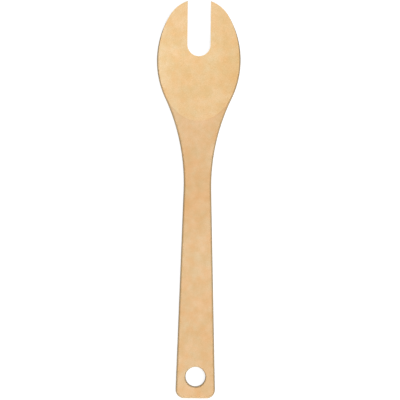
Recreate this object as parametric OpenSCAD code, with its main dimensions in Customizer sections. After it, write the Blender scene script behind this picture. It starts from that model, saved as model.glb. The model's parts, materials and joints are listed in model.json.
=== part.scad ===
// Pasta server routed from pressed wood-fibre board: a tapered handle with a hanging hole,
// and a scooped head that ends in two tines. Millimetres, lying on its back, front face up.
// The board is a stack of bonded plies, and each ply is a solid of its own.

/* [Board] */
// Pressed thickness of one ply
ply_t = 0.5; // [0.42:0.01:0.75]
// Radius routed along the outer edge, on both faces
edge_r = 1.6; // [1:0.1:2.4]
// Radius routed along the edges of the slot and the hanging hole, on both faces
inner_edge_r = 1; // [0.8:0.1:2]

/* [Handle] */
// Overall length, from the handle's end to the tine tips
length = 300; // [260:1:360]
// Width of the handle at its end
end_w = 30.1; // [26:0.1:36]
// Radius of the two corners at the handle's end
corner_r = 6.5; // [3:0.5:9]
// Width of the neck, the narrowest place
neck_w = 20.7; // [16:0.1:25]
// Distance from the neck to the head's widest place
neck_run = 94; // [80:1:110]

/* [Head] */
// Width of the head at its widest place
head_w = 63.2; // [58:0.1:75]
// Distance from the head's widest place to the tine tips
head_rise = 45; // [40:0.5:55]
// Radius of the head's rounded tip, which the slot cuts through
tip_r = 25.8; // [22:0.1:28]

/* [Slot] */
// Width of the slot between the tines
slot_w = 17.5; // [12:0.1:24]
// Depth of the slot, from the tine tips to its round bottom
slot_depth = 41.6; // [25:0.1:50]

/* [Hanging hole] */
// Diameter of the hole
hole_d = 15; // [8:0.1:16]
// Distance from the hole's centre to the handle's end
hole_at = 16.3; // [13:0.1:30]

/* [Scoop] */
// Depth of the scoop along its middle
scoop_depth = 2; // [1.2:0.1:2.6]
// How far the scoop's rim stands inside the head's sides, where the head is widest
scoop_in = 0.7; // [0.2:0.1:2]
// Length of the scoop's round lower end, from the head's widest place to its rim
scoop_end_l = 45.5; // [38:0.5:54]

/* [Hidden] */
NODES = [
    "back_face_sheet",
    "core_ply_01",
    "core_ply_02",
    "core_ply_03",
    "core_ply_04",
    "core_ply_05",
    "core_ply_06",
    "core_ply_07",
    "core_ply_08",
    "core_ply_09",
    "core_ply_10",
    "front_face_sheet",
];
$fn = 128;
scoop_fn = 256;

ply_count = len(NODES);
board_t = ply_count * ply_t;

// Neighbouring arcs cross by this much instead of only touching
lap = 0.02;
// Reach of a cut past the board's edge
spare = 20;

// Outline, measured from the middle of the handle's end. The head's side arcs
// touch the tip arc, the neck arcs touch the side arcs, and the handle's straight
// sides touch the neck arcs.
head_at = length - head_rise;
neck_at = head_at - neck_run;
tip_at = length - sqrt(tip_r^2 - (slot_w / 2)^2);
side_r = ((head_w / 2)^2 + (tip_at - head_at)^2 - tip_r^2) / (head_w - 2 * tip_r);
waist = (head_w - neck_w) / 2;
neck_r = (waist^2 + neck_run^2) / (2 * waist) - side_r;
side_centre = [head_w / 2 - side_r, head_at];
neck_centre = [neck_w / 2 + neck_r, neck_at];

// Direction from a side arc's centre to its neck arc's, through the point where they touch
joint_way = (neck_centre - side_centre) / (side_r + neck_r);
head_joint = side_centre + side_r * joint_way;
joint_crossing = [0, head_at - side_centre.x * joint_way.y / joint_way.x];

// Straight side of the handle, from the end's corner to the neck arc
end_corner = [end_w / 2, 0];
to_neck = neck_centre - end_corner;
taper = atan2(to_neck.y, to_neck.x) + asin(neck_r / norm(to_neck)) - 90;
side_out = [cos(taper), sin(taper)];
side_way = [-sin(taper), cos(taper)];
side_l = sqrt(to_neck * to_neck - neck_r^2);
handle_joint = end_corner + side_l * side_way;
corner_x = end_w / 2 - corner_r * (1 + sin(taper)) / cos(taper);

slot_at = length - slot_depth + slot_w / 2;

// The scoop is the lowest part of a flattened round trough this many times as tall
scoop_bow = 4;
cap_share = sqrt(1 - (1 - 1 / scoop_bow)^2);
scoop_w = head_w - 2 * scoop_in;
scoop_ball = [scoop_w / 2 / cap_share, scoop_end_l / cap_share, scoop_bow * scoop_depth];
scoop_run = head_rise + spare;

face_colour = "#e0b587";
core_colour = "#e9c394";

// How far an edge routed to radius r stands in from the outline at height z
function inset(z, r) =
    let (depth = min(z, board_t - z))
    depth >= r ? 0 : r - sqrt(r^2 - (r - depth)^2);

function mirrored(points) = [for (i = [len(points) - 1 : -1 : 0]) [-points[i].x, points[i].y]];

// Polygon from its right-hand points, top to bottom or bottom to top
module symmetric(points) {
    polygon(concat(points, mirrored(points)));
}

module both_sides() {
    children();
    mirror([1, 0]) children();
}

module disc(centre, r) {
    translate(centre) circle(r = r);
}

// Two side arcs, closed at the top by the tip arc
module head_outline(outer_in) {
    tip_ray = [0, tip_at] + spare / tip_r * ([0, tip_at] - side_centre);
    intersection() {
        disc(side_centre, side_r - outer_in);
        mirror([1, 0]) disc(side_centre, side_r - outer_in);
        union() {
            symmetric([[head_w, neck_at], [head_w, tip_at], tip_ray, [0, tip_at]]);
            disc([0, tip_at], tip_r + lap - outer_in);
        }
    }
}

// Blank between the handle and the head, before the neck arcs are cut from it
module neck_blank() {
    symmetric([handle_joint + edge_r * side_out, head_joint + edge_r * joint_way, joint_crossing]);
}

// Tapered bar with two rounded corners
module handle_outline(outer_in) {
    corner = [corner_x, corner_r];
    foot = end_corner - [outer_in / cos(taper), 0];
    intersection() {
        symmetric([foot - spare * side_way, foot + (side_l + spare) * side_way]);
        translate([-end_w, outer_in]) square([2 * end_w, length]);
        union() {
            symmetric([[corner_x, 0], corner, corner + end_w * side_out, [end_w, neck_at + spare]]);
            both_sides() disc(corner, corner_r + lap - outer_in);
        }
    }
}

module slot_outline(inner_in) {
    disc([0, slot_at], slot_w / 2 + lap + inner_in);
    translate([-slot_w / 2 - inner_in, slot_at]) square([slot_w + 2 * inner_in, slot_depth + spare]);
}

// The board seen from the front, with its routed edges this far in
module board_outline(outer_in, inner_in) {
    difference() {
        union() {
            head_outline(outer_in);
            neck_blank();
            handle_outline(outer_in);
        }
        both_sides() disc(neck_centre, neck_r + lap + outer_in);
        slot_outline(inner_in);
        disc([0, hole_at], hole_d / 2 + inner_in);
    }
}

// Half a flattened ball below the head's widest place, and from there a straight run past the tips
module scoop() {
    translate([0, head_at, board_t - scoop_depth + scoop_ball.z])
        scale(scoop_ball) {
            intersection() {
                rotate([0, -90, 0]) sphere(r = 1, $fn = scoop_fn);
                translate([-2, -2, -2]) cube([4, 2, 4]);
            }
            rotate([-90, 0, 0]) cylinder(r = 1, h = scoop_run / scoop_ball.y, $fn = scoop_fn);
        }
}

// Ply number i, counted from the back, with its edge where the routed edge passes its middle
module ply(i) {
    low = i * ply_t;
    middle = low + ply_t / 2;
    translate([0, -length / 2, 0])
        difference() {
            translate([0, 0, low])
                linear_extrude(height = ply_t)
                    board_outline(inset(middle, edge_r), inset(middle, inner_edge_r));
            if (low + ply_t > board_t - scoop_depth) scoop();
        }
}

module back_face_sheet() {
    color(face_colour) ply(0);
}

module core_ply(i) {
    color(core_colour) ply(i);
}

module front_face_sheet() {
    color(face_colour) ply(ply_count - 1);
}

back_face_sheet();
for (i = [1 : ply_count - 2])
    core_ply(i);
front_face_sheet();
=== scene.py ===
"""Pasta server routed from pressed wood-fibre board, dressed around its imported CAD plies.

Each ply of the board is a piece of its own. One Geometry Nodes tree makes them all: it raises the
board's outline between the ply's two heights, follows the routed round along the edges, and takes
the scoop out of the head.
"""

import json
import math

import bpy
import numpy as np
from mathutils import Matrix, Vector
from mathutils.geometry import tessellate_polygon


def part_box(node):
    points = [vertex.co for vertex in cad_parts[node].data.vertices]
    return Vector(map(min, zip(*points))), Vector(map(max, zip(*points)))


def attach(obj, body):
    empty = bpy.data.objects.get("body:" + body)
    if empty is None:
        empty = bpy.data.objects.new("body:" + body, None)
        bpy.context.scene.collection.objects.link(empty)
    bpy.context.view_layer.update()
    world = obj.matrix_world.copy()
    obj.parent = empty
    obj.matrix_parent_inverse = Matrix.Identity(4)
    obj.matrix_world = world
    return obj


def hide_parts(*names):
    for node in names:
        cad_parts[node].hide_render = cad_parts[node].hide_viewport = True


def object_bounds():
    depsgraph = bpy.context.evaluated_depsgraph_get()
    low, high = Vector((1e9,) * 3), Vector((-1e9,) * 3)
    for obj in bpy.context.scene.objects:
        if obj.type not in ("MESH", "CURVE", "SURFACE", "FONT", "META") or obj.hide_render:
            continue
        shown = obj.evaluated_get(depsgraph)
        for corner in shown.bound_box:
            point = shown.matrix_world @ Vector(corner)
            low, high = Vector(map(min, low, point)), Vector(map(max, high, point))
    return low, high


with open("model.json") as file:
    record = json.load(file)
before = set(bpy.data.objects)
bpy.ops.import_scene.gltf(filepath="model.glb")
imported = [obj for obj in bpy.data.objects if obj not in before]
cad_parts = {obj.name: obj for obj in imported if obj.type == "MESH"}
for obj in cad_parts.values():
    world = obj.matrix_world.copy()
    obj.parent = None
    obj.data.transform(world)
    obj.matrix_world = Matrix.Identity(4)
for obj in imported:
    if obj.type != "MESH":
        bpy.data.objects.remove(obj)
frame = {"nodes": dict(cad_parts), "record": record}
CAD_LOW, CAD_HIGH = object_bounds()
RECORD = frame["record"]

# A millimetre in the frame's metres. Sizes below are in millimetres, and angles in degrees.
MM = 0.001

# What the frame gives: the board's own size, its plies from the back, and the hanging hole
HEAD_W, LENGTH, BOARD_T = (CAD_HIGH - CAD_LOW) / MM
PLIES = sorted(frame["nodes"], key=lambda node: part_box(node)[0].z)
HANG_HOLE = next(mount for mount in RECORD["mounts"] if mount["name"] == "hang_hole")
HOLE_R = HANG_HOLE["dims"]["r_mm"]
HOLE_AT = HANG_HOLE["pos_m"][1] / MM - CAD_LOW.y / MM

# The other sizes of the part, as its source has them
EDGE_R = 1.6
INNER_EDGE_R = 1.0
END_W = 30.1
CORNER_R = 6.5
NECK_W = 20.7
NECK_RUN = 94.0
HEAD_RISE = 45.0
TIP_R = 25.8
SLOT_W = 17.5
SLOT_DEPTH = 41.6
SCOOP_DEPTH = 2.0
SCOOP_IN = 0.7
SCOOP_END_L = 45.5
SCOOP_BOW = 4.0

# Width of the faces along an edge that follow its round, wider than either round
RIM_W = 2.4

# Fineness of the meshes
ARC_SEGMENTS = 40
HOLE_SEGMENTS = 4 * ARC_SEGMENTS
EDGE_STEPS = 6
SCOOP_SEGMENTS = 240
SCOOP_RINGS = 180

# Where the photograph has the server: frame side, length and middle in pixels, and its lean to the right
PHOTO_SIDE = 400
SERVER_PX = 397.0
SERVER_MIDDLE_PX = (197.3, 199.65)
SERVER_LEAN = 0.62
# A long lens from far off, which shows next to nothing of the sides
LENS = 180.0
SENSOR = 36.0


def linear(hex_colour):
    """Linear RGBA of an sRGB hex colour."""
    values = [int(hex_colour[i:i + 2], 16) / 255 for i in (1, 3, 5)]
    return tuple(v / 12.92 if v <= 0.04045 else ((v + 0.055) / 1.055) ** 2.4 for v in values) + (1.0,)


def add(tree, kind, inputs=(), **settings):
    """Adds a node with its settings. An input is a value, or a node, socket or list of them to link."""
    node = tree.nodes.new(kind)
    for name, value in settings.items():
        setattr(node, name, value)
    for key, value in dict(inputs).items():
        for source in value if isinstance(value, list) else [value]:
            if isinstance(source, bpy.types.Node):
                source = source.outputs[0]
            if isinstance(source, bpy.types.NodeSocket):
                tree.links.new(source, node.inputs[key])
            else:
                node.inputs[key].default_value = source
    return node


# Outline of the board, measured from the middle of the handle's end

HEAD_AT = LENGTH - HEAD_RISE
NECK_AT = HEAD_AT - NECK_RUN
TIP_AT = LENGTH - math.sqrt(TIP_R**2 - (SLOT_W / 2) ** 2)
SLOT_AT = LENGTH - SLOT_DEPTH + SLOT_W / 2
SIDE_R = ((HEAD_W / 2) ** 2 + (TIP_AT - HEAD_AT) ** 2 - TIP_R**2) / (HEAD_W - 2 * TIP_R)
WAIST = (HEAD_W - NECK_W) / 2
NECK_R = (WAIST**2 + NECK_RUN**2) / (2 * WAIST) - SIDE_R
SIDE_CENTRE = Vector((HEAD_W / 2 - SIDE_R, HEAD_AT))
NECK_CENTRE = Vector((NECK_W / 2 + NECK_R, NECK_AT))


def bearing(way):
    """Angle of a direction, in degrees from +X."""
    return math.degrees(math.atan2(way.y, way.x))


END_TO_NECK = NECK_CENTRE - Vector((END_W / 2, 0))
TAPER = bearing(END_TO_NECK) + math.degrees(math.asin(NECK_R / END_TO_NECK.length)) - 90
TAPER_SIN = math.sin(math.radians(TAPER))
TAPER_COS = math.cos(math.radians(TAPER))
CORNER_CENTRE = Vector((END_W / 2 - CORNER_R * (1 + TAPER_SIN) / TAPER_COS, CORNER_R))
NECK_TO_HEAD = bearing(NECK_CENTRE - SIDE_CENTRE)
HEAD_TO_TIP = bearing(Vector((0, TIP_AT)) - SIDE_CENTRE)


def arc(centre, radius, start, end, segments=ARC_SEGMENTS):
    """Points along an arc, from one angle to another."""
    angles = np.radians(np.linspace(start, end, segments + 1))
    return np.array(centre) + radius * np.stack([np.cos(angles), np.sin(angles)], axis=1)


def board_loops(outer_in=0.0, inner_in=0.0):
    """The board's edge and its hole seen from the front, with their routed edges this far in.

    Each loop runs with the board on its left.
    """
    tip_r = TIP_R - outer_in
    slot_r = SLOT_W / 2 + inner_in
    tine_corner = math.degrees(math.acos(slot_r / tip_r))
    right = np.vstack([
        arc(CORNER_CENTRE, CORNER_R - outer_in, -90, TAPER),
        arc(NECK_CENTRE, NECK_R + outer_in, 180 + TAPER, 180 + NECK_TO_HEAD),
        arc(SIDE_CENTRE, SIDE_R - outer_in, NECK_TO_HEAD, HEAD_TO_TIP)[1:],
        arc((0, TIP_AT), tip_r, HEAD_TO_TIP, tine_corner)[1:],
        arc((0, SLOT_AT), slot_r, 0, -90),
    ])
    left = right[-2::-1] * [-1, 1]
    hole = arc((0, HOLE_AT), HOLE_R + inner_in, 360, 0, HOLE_SEGMENTS)[:-1]
    return np.vstack([right, left]), hole


def in_frame(loops):
    """Loops of outline points as one array of frame coordinates, on the floor."""
    flat = np.vstack(loops) * MM + [0, CAD_LOW.y]
    return np.column_stack([flat, np.zeros(len(flat))])


def board_outline():
    """Flat mesh of the board's front view: a rim that follows the routed edges, round a still middle."""
    loops = board_loops()
    middle_loops = board_loops(RIM_W, RIM_W)
    edge = in_frame(loops)
    middle = in_frame(middle_loops)
    count = len(edge)
    faces = []
    start = 0
    for loop in loops:
        here = np.arange(start, start + len(loop))
        there = np.roll(here, -1)
        faces += np.stack([here, there, there + count, here + count], axis=1).tolist()
        start += len(loop)
    flat_loops = [[Vector((x, y, 0)) for x, y in loop] for loop in middle_loops]
    triangles = np.array(tessellate_polygon(flat_loops))
    corners = middle[triangles]
    turns = np.cross(corners[:, 1] - corners[:, 0], corners[:, 2] - corners[:, 0])[:, 2]
    triangles[turns < 0] = triangles[turns < 0, ::-1]
    faces += (triangles + count).tolist()

    home = np.vstack([edge, middle])
    outer_way = (in_frame(board_loops(outer_in=EDGE_R)) - edge) / (EDGE_R * MM)
    inner_way = (in_frame(board_loops(inner_in=INNER_EDGE_R)) - edge) / (INNER_EDGE_R * MM)
    still = np.zeros_like(middle)
    known = {
        "outline_home": home,
        "outline_outer_way": np.vstack([outer_way, still]),
        "outline_inner_way": np.vstack([inner_way, still]),
    }
    mesh = bpy.data.meshes.new("board_outline")
    mesh.from_pydata(home.tolist(), [], faces)
    for name, vectors in known.items():
        mesh.attributes.new(name, "FLOAT_VECTOR", "POINT").data.foreach_set("vector", vectors.ravel())
    return mesh


# Geometry Nodes tree of a ply

PLY_INPUTS = {
    "Outline": "NodeSocketGeometry",
    "Low": "NodeSocketFloat",
    "High": "NodeSocketFloat",
    "Board thickness": "NodeSocketFloat",
    "Outer edge radius": "NodeSocketFloat",
    "Inner edge radius": "NodeSocketFloat",
    "Edge steps": "NodeSocketInt",
    "Scoop middle": "NodeSocketVector",
    "Scoop half axes": "NodeSocketVector",
    "Tone": "NodeSocketFloat",
    "Sheet finish": "NodeSocketMaterial",
    "Edge finish": "NodeSocketMaterial",
    "Scoop finish": "NodeSocketMaterial",
}

# A face is level where its normal's Z passes this
LEVEL = 0.99995
# An edge between a level face and another one is this far level, give or take the slack
HALF_LEVEL = 0.5
HALF_LEVEL_SLACK = 0.25
# Edges that turn by more than this stay crisp
CRISP_ANGLE = 25.0
# Points closer than this are one point
SAME_POINT = 0.001


def edge_sweep(tree, given):
    """Height about which a ply's outer round turns, and the angles where the ply begins and ends on it.

    A ply of the straight wall turns about its own middle.
    """
    edge_r = given["Outer edge radius"]
    both = add(tree, "ShaderNodeMath", {0: given["Low"], 1: given["High"]}, operation="ADD")
    middle = add(tree, "ShaderNodeMath", {0: both, 1: 0.5}, operation="MULTIPLY")
    highest = add(tree, "ShaderNodeMath", {0: given["Board thickness"], 1: edge_r}, operation="SUBTRACT")
    pivot = add(tree, "ShaderNodeClamp", {"Value": middle, "Min": edge_r, "Max": highest})
    turns = []
    for height in (given["Low"], given["High"]):
        rise = add(tree, "ShaderNodeMath", {0: height, 1: pivot}, operation="SUBTRACT")
        share = add(tree, "ShaderNodeMath", {0: rise, 1: edge_r}, operation="DIVIDE")
        turns.append(add(tree, "ShaderNodeMath", {0: share}, operation="ARCSINE"))
    return pivot, turns


def edge_ring(tree, given, sweep, step):
    """Place of the outline's points at a step of the way up a ply's edge."""
    board_t = given["Board thickness"]
    edge_r = given["Outer edge radius"]
    inner_edge_r = given["Inner edge radius"]
    pivot, (first_turn, last_turn) = sweep
    turn = add(tree, "ShaderNodeMapRange", {
        "Value": step, "From Max": given["Edge steps"], "To Min": first_turn, "To Max": last_turn})
    sine = add(tree, "ShaderNodeMath", {0: turn}, operation="SINE")
    height = add(tree, "ShaderNodeMath", {0: sine, 1: edge_r, 2: pivot}, operation="MULTIPLY_ADD")
    from_top = add(tree, "ShaderNodeMath", {0: board_t, 1: height}, operation="SUBTRACT")
    depth = add(tree, "ShaderNodeMath", {0: height, 1: from_top}, operation="MINIMUM")
    up = add(tree, "ShaderNodeCombineXYZ", {"Z": height})
    home = add(tree, "GeometryNodeInputNamedAttribute", {"Name": "outline_home"},
               data_type="FLOAT_VECTOR")
    place = add(tree, "ShaderNodeVectorMath", {0: home, 1: up}, operation="ADD")
    for radius, way in ((edge_r, "outline_outer_way"), (inner_edge_r, "outline_inner_way")):
        # A round of radius r stands in by r - r cos(asin((r - depth) / r)) at this depth under a face
        lack = add(tree, "ShaderNodeMath", {0: radius, 1: depth}, operation="SUBTRACT")
        share = add(tree, "ShaderNodeMath", {0: lack, 1: radius}, operation="DIVIDE")
        sine = add(tree, "ShaderNodeMath", {0: share, 1: 0.0}, operation="MAXIMUM")
        turn = add(tree, "ShaderNodeMath", {0: sine}, operation="ARCSINE")
        cosine = add(tree, "ShaderNodeMath", {0: turn}, operation="COSINE")
        left = add(tree, "ShaderNodeMath", {0: 1.0, 1: cosine}, operation="SUBTRACT")
        inset = add(tree, "ShaderNodeMath", {0: left, 1: radius}, operation="MULTIPLY")
        moves = add(tree, "GeometryNodeInputNamedAttribute", {"Name": way}, data_type="FLOAT_VECTOR")
        place = add(tree, "ShaderNodeVectorMath", {0: moves, 1: inset, 2: place},
                    operation="MULTIPLY_ADD")
    return place


def raised_blank(tree, given):
    """The ply before it is scooped: its underside raised ring by ring to its upper side, and closed."""
    sweep = edge_sweep(tree, given)
    underside = add(tree, "GeometryNodeSetPosition", {
        "Geometry": given["Outline"], "Position": edge_ring(tree, given, sweep, 0.0)})
    rising = add(tree, "GeometryNodeInputNamedAttribute", {"Name": "outline_rising"},
                 data_type="BOOLEAN")
    first = add(tree, "GeometryNodeStoreNamedAttribute", {
        "Geometry": underside, "Name": "outline_rising", "Value": True}, data_type="BOOLEAN", domain="FACE")
    raised = add(tree, "GeometryNodeRepeatOutput")
    raising = add(tree, "GeometryNodeRepeatInput")
    raising.pair_with_output(raised)
    tree.links.new(given["Edge steps"], raising.inputs["Iterations"])
    tree.links.new(first.outputs[0], raising.inputs["Geometry"])
    step = add(tree, "ShaderNodeMath", {0: raising.outputs["Iteration"], 1: 1.0}, operation="ADD")
    grown = add(tree, "GeometryNodeExtrudeMesh", {
        "Mesh": raising.outputs["Geometry"], "Selection": rising, "Offset Scale": 0.0, "Individual": False})
    topped = add(tree, "GeometryNodeStoreNamedAttribute", {
        "Geometry": grown, "Name": "outline_rising", "Value": grown.outputs["Top"]},
        data_type="BOOLEAN", domain="FACE")
    placed = add(tree, "GeometryNodeSetPosition", {
        "Geometry": topped, "Selection": rising, "Position": edge_ring(tree, given, sweep, step)})
    tree.links.new(placed.outputs[0], raised.inputs["Geometry"])
    floor_side = add(tree, "GeometryNodeFlipFaces", {"Mesh": underside})
    sides = add(tree, "GeometryNodeJoinGeometry", {"Geometry": [raised, floor_side]})
    closed = add(tree, "GeometryNodeMergeByDistance", {"Geometry": sides, "Distance": SAME_POINT * MM})
    return add(tree, "GeometryNodeRemoveAttribute", {"Geometry": closed, "Name": "outline_*"},
               pattern_mode="WILDCARD")


def scoop_cutter(tree, given):
    """What the scoop takes away: a flattened ball whose half towards the tines is drawn out straight."""
    ball = add(tree, "GeometryNodeMeshUVSphere", {
        "Segments": SCOOP_SEGMENTS, "Rings": SCOOP_RINGS, "Radius": 1.0})
    laid = add(tree, "GeometryNodeTransform", {
        "Geometry": ball, "Rotation": (math.radians(90), 0.0, 0.0)})
    place = add(tree, "GeometryNodeInputPosition")
    along = add(tree, "ShaderNodeSeparateXYZ", {0: place})
    tine_half = add(tree, "ShaderNodeMath", {0: along.outputs["Y"], 1: 0.0}, operation="GREATER_THAN")
    across = add(tree, "ShaderNodeVectorMath", {0: place, 1: (1.0, 0.0, 1.0)}, operation="MULTIPLY")
    wall = add(tree, "ShaderNodeVectorMath", {0: across}, operation="NORMALIZE")
    drawn_out = add(tree, "ShaderNodeVectorMath", {0: place, 1: (0.0, 1.0, 0.0), 2: wall},
                    operation="MULTIPLY_ADD")
    trough = add(tree, "GeometryNodeSetPosition", {
        "Geometry": laid, "Selection": tine_half, "Position": drawn_out})
    marked = add(tree, "GeometryNodeStoreNamedAttribute", {
        "Geometry": trough, "Name": "scooped", "Value": True}, data_type="BOOLEAN", domain="FACE")
    return add(tree, "GeometryNodeTransform", {
        "Geometry": marked, "Translation": given["Scoop middle"], "Scale": given["Scoop half axes"]})


def flat_sides(tree):
    """How far a face or an edge belongs to the ply's two flat sides, and not to its edge or the scoop."""
    normal = add(tree, "ShaderNodeSeparateXYZ", {0: add(tree, "GeometryNodeInputNormal")})
    levelness = add(tree, "ShaderNodeMath", {0: normal.outputs["Z"]}, operation="ABSOLUTE")
    level = add(tree, "ShaderNodeMath", {0: levelness, 1: LEVEL}, operation="GREATER_THAN")
    in_scoop = add(tree, "GeometryNodeInputNamedAttribute", {"Name": "scooped"}, data_type="BOOLEAN")
    flat = add(tree, "ShaderNodeMath", {0: level, 1: in_scoop}, operation="GREATER_THAN")
    return add(tree, "GeometryNodeFieldOnDomain", {"Value": flat}, domain="FACE", data_type="FLOAT")


def smooth_rounds(tree, ply, flat):
    """Smooth shading, with a crisp line where a flat side begins and along the scoop's rim."""
    border = add(tree, "FunctionNodeCompare", {"A": flat, "B": HALF_LEVEL, "Epsilon": HALF_LEVEL_SLACK},
                 data_type="FLOAT", operation="EQUAL")
    angle = add(tree, "GeometryNodeInputMeshEdgeAngle")
    sharp = add(tree, "FunctionNodeCompare", {"A": angle, "B": math.radians(CRISP_ANGLE)},
                data_type="FLOAT", operation="GREATER_THAN")
    crisp = add(tree, "FunctionNodeBooleanMath", {0: border, 1: sharp}, operation="OR")
    smooth = add(tree, "GeometryNodeSetShadeSmooth", {"Geometry": ply, "Shade Smooth": True},
                 domain="FACE")
    return add(tree, "GeometryNodeSetShadeSmooth", {
        "Geometry": smooth, "Selection": crisp, "Shade Smooth": False}, domain="EDGE")


def ply_tree():
    """Tree that makes one ply of the board, with its rounded edges and its share of the scoop."""
    tree = bpy.data.node_groups.new("pressed_ply", "GeometryNodeTree")
    tree.interface.new_socket("Ply", in_out="OUTPUT", socket_type="NodeSocketGeometry")
    for name, kind in PLY_INPUTS.items():
        tree.interface.new_socket(name, in_out="INPUT", socket_type=kind)
    given = add(tree, "NodeGroupInput").outputs

    edged = add(tree, "GeometryNodeSetMaterial", {
        "Geometry": raised_blank(tree, given), "Material": given["Edge finish"]})
    sanded = add(tree, "GeometryNodeSetMaterial", {
        "Geometry": scoop_cutter(tree, given), "Material": given["Scoop finish"]})
    scooped = add(tree, "GeometryNodeMeshBoolean", {"Mesh 1": edged, "Mesh 2": sanded},
                  operation="DIFFERENCE", solver="MANIFOLD")
    flat = flat_sides(tree)
    toned = add(tree, "GeometryNodeStoreNamedAttribute", {
        "Geometry": smooth_rounds(tree, scooped, flat), "Name": "ply_tone", "Value": given["Tone"]},
        data_type="FLOAT", domain="POINT")
    whole = add(tree, "GeometryNodeRealizeInstances", {"Geometry": toned})
    faced = add(tree, "GeometryNodeSetMaterial", {
        "Geometry": whole, "Selection": flat, "Material": given["Sheet finish"]})
    add(tree, "NodeGroupOutput", {"Ply": faced})
    return tree


# Materials

# Wood-fibre board is paper-fine fibre pressed hot with resin. It has no grain: the eye sees soft clouds
# of tone and hue a few millimetres wide, broad patches where the press has browned the resin, and close
# up the flecks of fibre bundles, drawn coarser than the real ones so that they show. Each layer of this
# mottling has a width in millimetres and a seed.
MOTTLING = {
    "tone": (7.5, 0.0),
    "hue": (9.0, 4.0),
    "patch": (65.0, 262.0),
    "fleck": (0.5, 0.0),
}
MOTTLING_DETAIL = 3.0
MOTTLING_ROUGHNESS = 0.6
# Part of a noise's range over which its colours run from the first to the second
SPREAD = (0.36, 0.64)
EVEN = 0.5
# How high the flecks stand, and how much of that the light shows
FLECK_DEPTH = 0.01
FLECK_STRENGTH = 0.3
# Resin's refraction, with its gloss broken by the fibre
BOARD_IOR = 1.5
BOARD_GLOSS = 0.3

PATCH_TINTS = ("#f8f0e2", "#ffffff")
FLECK_TINTS = ("#f1e8db", "#ffffff")
FACE_TONES = ("#d5ac76", "#ddc3a0")
FACE_HUES = ("#d0b78c", "#e1b688")
SCOOP_TONES = ("#e3be85", "#ead2ac")
SCOOP_HUES = ("#dfc89b", "#edc797")
# Brown of a steep routed edge: partly the edge's own burnishing, partly painted shade where the round turns
# away from the light
BURNISH_AND_SHADE = "#958362"

# Colour sockets of a Mix node, which share their names with its other sockets
MIX_A = 6
MIX_B = 7
MIX_RESULT = 2


def fibre_board(name, tones, hues, roughness, burnish_and_shade=None):
    """Material of the board in one finish. The steeper a routed edge, the darker brown it is painted:
    partly its own burnishing, partly painted shade.
    """
    material = bpy.data.materials.new(name)
    material.use_nodes = True
    tree = material.node_tree
    tree.nodes.clear()
    coordinates = add(tree, "ShaderNodeTexCoord")
    colours = {"tone": tones, "hue": hues, "patch": PATCH_TINTS, "fleck": FLECK_TINTS}
    noises = {}
    layers = {}
    for layer, (width, seed) in MOTTLING.items():
        noises[layer] = add(tree, "ShaderNodeTexNoise", {
            "Vector": coordinates.outputs["Object"], "W": seed, "Scale": 1 / (width * MM),
            "Detail": MOTTLING_DETAIL, "Roughness": MOTTLING_ROUGHNESS}, noise_dimensions="4D")
        layers[layer] = add(tree, "ShaderNodeValToRGB", {"Fac": noises[layer]})
        for stop, colour, where in zip(layers[layer].color_ramp.elements, colours[layer], SPREAD):
            stop.color = linear(colour)
            stop.position = where

    board = add(tree, "ShaderNodeMix", {"Factor": EVEN, MIX_A: layers["tone"], MIX_B: layers["hue"]},
                data_type="RGBA")
    if burnish_and_shade:
        # Painted shade on the steep round, mixed with the edge's real burnishing: the more the normal leans
        # sideways, the browner
        across = add(tree, "ShaderNodeVectorMath", {0: coordinates.outputs["Normal"], 1: (1.0, 1.0, 0.0)},
                     operation="MULTIPLY")
        burnish_and_shade_mask = add(tree, "ShaderNodeVectorMath", {0: across}, operation="LENGTH")
        ply_tone = add(tree, "ShaderNodeAttribute", attribute_name="ply_tone")
        burnished_and_shaded = add(tree, "ShaderNodeMix", {
            "Factor": 1.0, MIX_A: linear(burnish_and_shade), MIX_B: ply_tone.outputs["Color"]},
            data_type="RGBA", blend_type="MULTIPLY")
        board = add(tree, "ShaderNodeMix", {
            "Factor": burnish_and_shade_mask.outputs["Value"], MIX_A: board.outputs[MIX_RESULT],
            MIX_B: burnished_and_shaded.outputs[MIX_RESULT]}, data_type="RGBA")
    for layer in ("patch", "fleck"):
        board = add(tree, "ShaderNodeMix", {
            "Factor": 1.0, MIX_A: board.outputs[MIX_RESULT], MIX_B: layers[layer]},
            data_type="RGBA", blend_type="MULTIPLY")

    fleck = noises["fleck"]
    bump = add(tree, "ShaderNodeBump", {
        "Height": fleck, "Strength": FLECK_STRENGTH, "Distance": FLECK_DEPTH * MM})
    satin = add(tree, "ShaderNodeMapRange", {
        "Value": fleck, "To Min": roughness[0], "To Max": roughness[1]})
    shader = add(tree, "ShaderNodeBsdfPrincipled", {
        "Base Color": board.outputs[MIX_RESULT], "Roughness": satin, "IOR": BOARD_IOR,
        "Specular IOR Level": BOARD_GLOSS, "Normal": bump})
    add(tree, "ShaderNodeOutputMaterial", {"Surface": shader})
    return material


def pressed_sheet():
    """Face sheet as it leaves the press: satin, from the polished plate."""
    return fibre_board("pressed_wood_fibre_sheet", FACE_TONES, FACE_HUES, roughness=(0.5, 0.6))


def sanded_scoop():
    """Scoop as the router and the sander leave it: matt, and paler than the resin-rich face."""
    return fibre_board("sanded_wood_fibre_scoop", SCOOP_TONES, SCOOP_HUES, roughness=(0.55, 0.7))


def routed_edge():
    """Edge as the router leaves it: browner where it is steep, partly from burnishing and partly as painted
    shade, with the plies as fine lines.
    """
    return fibre_board("routed_wood_fibre_edge", FACE_TONES, FACE_HUES, roughness=(0.5, 0.65),
                       burnish_and_shade=BURNISH_AND_SHADE)


# Pieces

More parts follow.
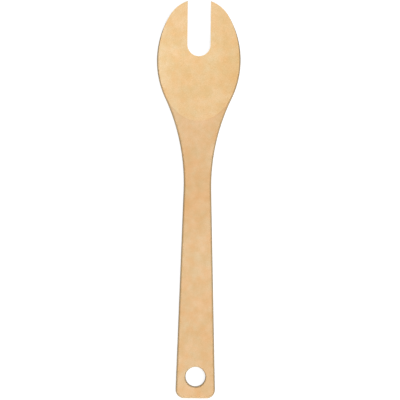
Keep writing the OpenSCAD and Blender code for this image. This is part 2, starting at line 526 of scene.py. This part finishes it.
SCOOP_CAP = math.sqrt(1 - (1 - 1 / SCOOP_BOW) ** 2)
SCOOP_HALF_W = HEAD_W / 2 - SCOOP_IN
SCOOP_HALF_AXES = Vector((SCOOP_HALF_W / SCOOP_CAP, SCOOP_END_L / SCOOP_CAP, SCOOP_BOW * SCOOP_DEPTH))
SCOOP_MIDDLE = Vector((0, HEAD_AT, BOARD_T - SCOOP_DEPTH + SCOOP_HALF_AXES.z))
# Every second ply is darker by this share, as sheets from different reels are
TONE_STEP = 0.06


def make_ply(node, outline, tree, inputs):
    """One ply as a piece: the tree's result as a plain mesh, in place of its CAD node."""
    piece = bpy.data.objects.new(node + "_eased", outline)
    bpy.context.scene.collection.objects.link(piece)
    modifier = piece.modifiers.new("ply", "NODES")
    modifier.node_group = tree
    for socket in tree.interface.items_tree:
        if socket.name in inputs:
            modifier[socket.identifier] = inputs[socket.name]
    depsgraph = bpy.context.evaluated_depsgraph_get()
    mesh = bpy.data.meshes.new_from_object(piece.evaluated_get(depsgraph), depsgraph=depsgraph)
    piece.modifiers.remove(modifier)
    piece.data = mesh
    mesh.name = piece.name
    # The cut leaves an empty slot ahead of the finishes
    mesh.materials.pop(index=0)
    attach(piece, "root")
    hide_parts(node)


def make_board():
    """All the plies of the board, from the back to the front."""
    outline = board_outline()
    tree = ply_tree()
    sheet, scoop, edge = pressed_sheet(), sanded_scoop(), routed_edge()
    for i, node in enumerate(PLIES):
        low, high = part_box(node)
        make_ply(node, outline, tree, {
            "Low": low.z,
            "High": high.z,
            "Board thickness": BOARD_T * MM,
            "Outer edge radius": EDGE_R * MM,
            "Inner edge radius": INNER_EDGE_R * MM,
            "Edge steps": EDGE_STEPS,
            "Scoop middle": SCOOP_MIDDLE * MM + Vector((0, CAD_LOW.y, 0)),
            "Scoop half axes": SCOOP_HALF_AXES * MM,
            "Tone": 1.0 - TONE_STEP * (i % 2),
            "Sheet finish": sheet,
            "Edge finish": edge,
            "Scoop finish": scoop,
        })


# Stage

WHITE = (1.0, 1.0, 1.0, 1.0)
FLOOR_SIDE = 24000.0
FLOOR_COLOUR = "#959595"
FLOOR_ROUGHNESS = 0.9
FLOOR_GLOW = 0.8
# The floor lies this far below the board's back, so that the two faces aren't one
FLOOR_DROP = 0.05
LAMP_DISTANCE = 2500.0
SURROUND_GLOW = 0.1


def make_floor():
    """Pale table of back-lit acrylic, which leaves hardly any shadow."""
    half = FLOOR_SIDE / 2 * MM
    corners = [(-half, -half, 0), (half, -half, 0), (half, half, 0), (-half, half, 0)]
    mesh = bpy.data.meshes.new("floor")
    mesh.from_pydata(corners, [], [(0, 1, 2, 3)])
    floor = bpy.data.objects.new("floor", mesh)
    bpy.context.scene.collection.objects.link(floor)
    material = bpy.data.materials.new("back_lit_acrylic")
    material.use_nodes = True
    shader = material.node_tree.nodes["Principled BSDF"]
    shader.inputs["Base Color"].default_value = linear(FLOOR_COLOUR)
    shader.inputs["Roughness"].default_value = FLOOR_ROUGHNESS
    shader.inputs["Specular IOR Level"].default_value = 0.0
    shader.inputs["Emission Color"].default_value = WHITE
    shader.inputs["Emission Strength"].default_value = FLOOR_GLOW
    mesh.materials.append(material)
    floor.location.z = CAD_LOW.z - FLOOR_DROP * MM


def softbox(name, side, azimuth, elevation, power):
    """Square studio lamp that faces the server. Azimuth 0 stands at the handle's end, 90 on the right."""
    lamp = bpy.data.lights.new(name, "AREA")
    lamp.size = side * MM
    lamp.energy = power
    light = bpy.data.objects.new(name, lamp)
    bpy.context.scene.collection.objects.link(light)
    a, e = math.radians(azimuth), math.radians(elevation)
    back = Vector((math.sin(a) * math.cos(e), -math.cos(a) * math.cos(e), math.sin(e)))
    light.location = back * LAMP_DISTANCE * MM
    light.rotation_euler = back.to_track_quat("Z", "Y").to_euler()
    light.visible_camera = False


def make_lights():
    """A soft lamp overhead, two low ones beyond the ends of the server, and a dim even surround."""
    softbox("overhead_lamp", side=1200, azimuth=90, elevation=79, power=45)
    softbox("handle_end_lamp", side=1000, azimuth=0, elevation=15, power=74)
    softbox("tine_end_lamp", side=1000, azimuth=180, elevation=20, power=25)
    world = bpy.data.worlds.new("dim_surround")
    bpy.context.scene.world = world
    world.use_nodes = True
    background = world.node_tree.nodes["Background"]
    background.inputs["Color"].default_value = WHITE
    background.inputs["Strength"].default_value = SURROUND_GLOW
    bpy.context.scene.view_settings.view_transform = "Standard"


def make_camera():
    """Camera straight above the server, framed as the photograph is."""
    data = bpy.data.cameras.new("camera")
    data.lens = LENS
    data.sensor_width = SENSOR
    camera = bpy.data.objects.new("camera", data)
    bpy.context.scene.collection.objects.link(camera)
    bpy.context.scene.camera = camera
    pixel = LENGTH / SERVER_PX
    turn = Matrix.Rotation(math.radians(SERVER_LEAN), 3, "Z")
    middle_x, middle_y = SERVER_MIDDLE_PX
    aside = Vector((PHOTO_SIDE / 2 - middle_x, middle_y - PHOTO_SIDE / 2, 0)) * pixel
    height = PHOTO_SIDE * pixel * LENS / SENSOR + BOARD_T / 2
    camera.location = (turn @ aside + Vector((0, 0, height))) * MM
    camera.rotation_euler = turn.to_euler()


make_board()
make_floor()
make_lights()
make_camera()
